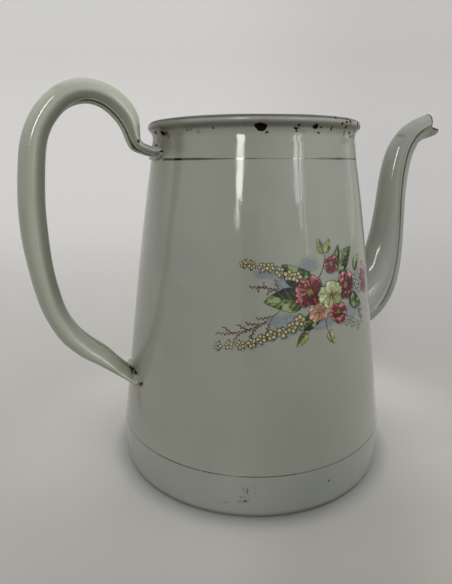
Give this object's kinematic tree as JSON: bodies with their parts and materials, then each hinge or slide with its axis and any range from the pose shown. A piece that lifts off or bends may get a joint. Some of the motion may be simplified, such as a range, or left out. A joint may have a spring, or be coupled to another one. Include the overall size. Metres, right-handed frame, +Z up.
{
  "type": "enamel coffee pot",
  "caption": "Conical enamelled steel coffee pot, open at the top, with a rolled rim, a long curved spout and a hollow sheet handle.",
  "frame": {"origin": "centre of the flat bottom, on the surface that the pot stands on", "axes": "+Z up along the pot's axis, +X towards the spout, -X towards the handle; the XZ plane is the plane of symmetry"},
  "size_m": [0.2675, 0.1646, 0.2189],
  "materials": {
    "enamel": "glossy pale grey-green vitreous enamel on sheet steel, worn, with dark chips and rust at the rim and feet, two thin gilt lines and a printed spray of flowers",
    "bare_steel": "bare drawn steel wire, sealed in the rim"
  },
  "bodies": {
    "root": {"body_shell": "enamel", "base_pan": "enamel", "rim_wire": "bare_steel", "spout_back_half": "enamel", "spout_front_half": "enamel", "handle_tube": "enamel", "handle_upper_foot": "enamel", "handle_lower_foot": "enamel"}
  },
  "joints": []
}
